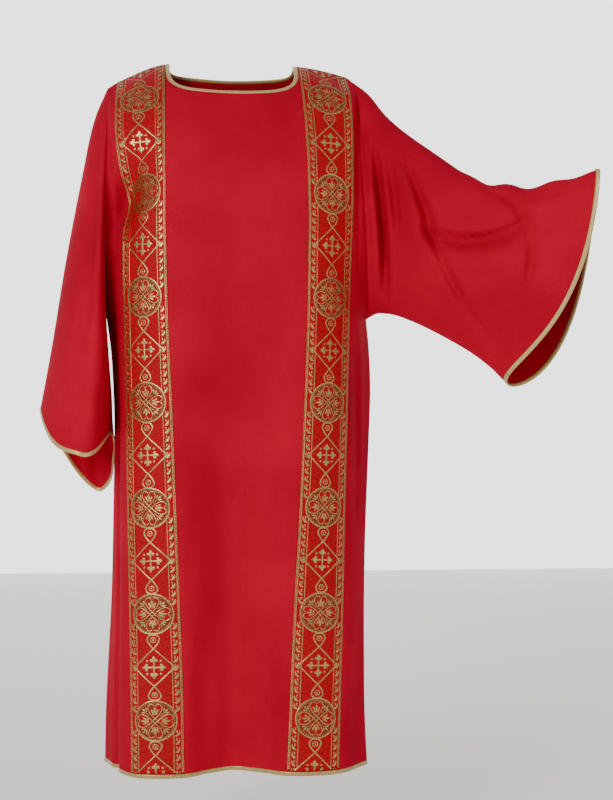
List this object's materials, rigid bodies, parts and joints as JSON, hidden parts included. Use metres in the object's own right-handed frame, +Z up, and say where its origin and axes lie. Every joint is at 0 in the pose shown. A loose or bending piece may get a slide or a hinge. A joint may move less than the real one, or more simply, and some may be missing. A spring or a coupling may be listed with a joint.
{
  "type": "dalmatic",
  "caption": "Wide open-sided tunic of thin cloth with wide sleeves, a square neck and figured bands from hem over shoulder to hem, in its worn form.",
  "frame": {"origin": "midway between the two points where the shoulder seams meet the neck", "axes": "+Z up, the front faces -Y, +X is towards the wearer's left"},
  "size_m": [1.0227, 0.4911, 1.3451],
  "materials": {
    "crepe": "matt crimson wool-like crepe",
    "galloon": "orange-red satin galloon figured in gold lurex",
    "binding": "gold satin bias binding"
  },
  "bodies": {
    "root": {"front_panel": "crepe", "back_panel": "crepe", "sleeve_left": "crepe", "sleeve_right": "crepe", "galloon_left": "galloon", "galloon_right": "galloon", "neck_binding": "binding", "hem_binding": "binding", "cuff_binding_left": "binding", "cuff_binding_right": "binding"}
  },
  "joints": []
}
